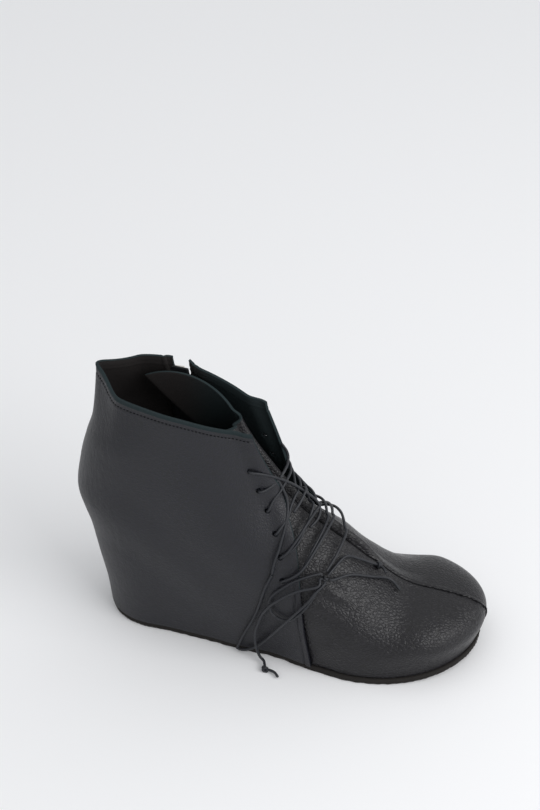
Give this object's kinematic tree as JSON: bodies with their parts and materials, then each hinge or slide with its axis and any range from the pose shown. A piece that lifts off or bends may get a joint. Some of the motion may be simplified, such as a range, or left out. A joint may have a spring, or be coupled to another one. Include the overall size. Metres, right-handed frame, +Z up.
{
  "type": "lace-up wedge ankle shoe",
  "caption": "Lace-up leather ankle shoe on a leather-covered wedge, with a bow at the throat and a zip on the inner side; right foot, empty and standing on its sole.",
  "frame": {"origin": "on the floor, under the middle of the sole's length and on the last's own middle line at the heel", "axes": "+X to the toe, +Y to the inner (big-toe) side, +Z up"},
  "size_m": [0.2613, 0.104, 0.1781],
  "materials": {
    "outsole": "dark brown-black rubber",
    "wedge": "light cork-like block, hidden by the leather",
    "insole": "black lining leather",
    "upper": "near-black, fine grain on the quarters and pebbled on the vamp",
    "tongue": "black pebbled leather",
    "zip_tape": "black woven tape and coil",
    "nickel": "polished nickel",
    "lace": "waxed black round cord"
  },
  "bodies": {
    "shoe": {"outsole": "outsole", "wedge": "wedge", "insole": "insole", "upper": "upper", "tongue": "tongue", "zip_coil": "zip_tape", "zip_slider": "nickel", "lace_crossings": "lace", "lace_knot": "lace", "lace_loop_small": "lace", "lace_loop_long": "lace", "lace_end_low": "lace", "lace_end_toe": "lace", "lace_end_throat": "lace"},
    "zip_link": {"zip_link": "nickel"},
    "zip_pull": {"zip_pull": "nickel"}
  },
  "joints": [
    {"name": "link_swing", "type": "hinge", "parent": "shoe", "child": "zip_link", "pos_m": [-0.08076, 0.03386, 0.16232], "axis": [0.9922, -0.0814, 0.0944], "range_deg": [0, 110]},
    {"name": "pull_swing", "type": "hinge", "parent": "zip_link", "child": "zip_pull", "pos_m": [-0.07997, 0.03426, 0.15437], "axis": [0.9922, -0.0814, 0.0944], "range_deg": [0, 60]}
  ]
}
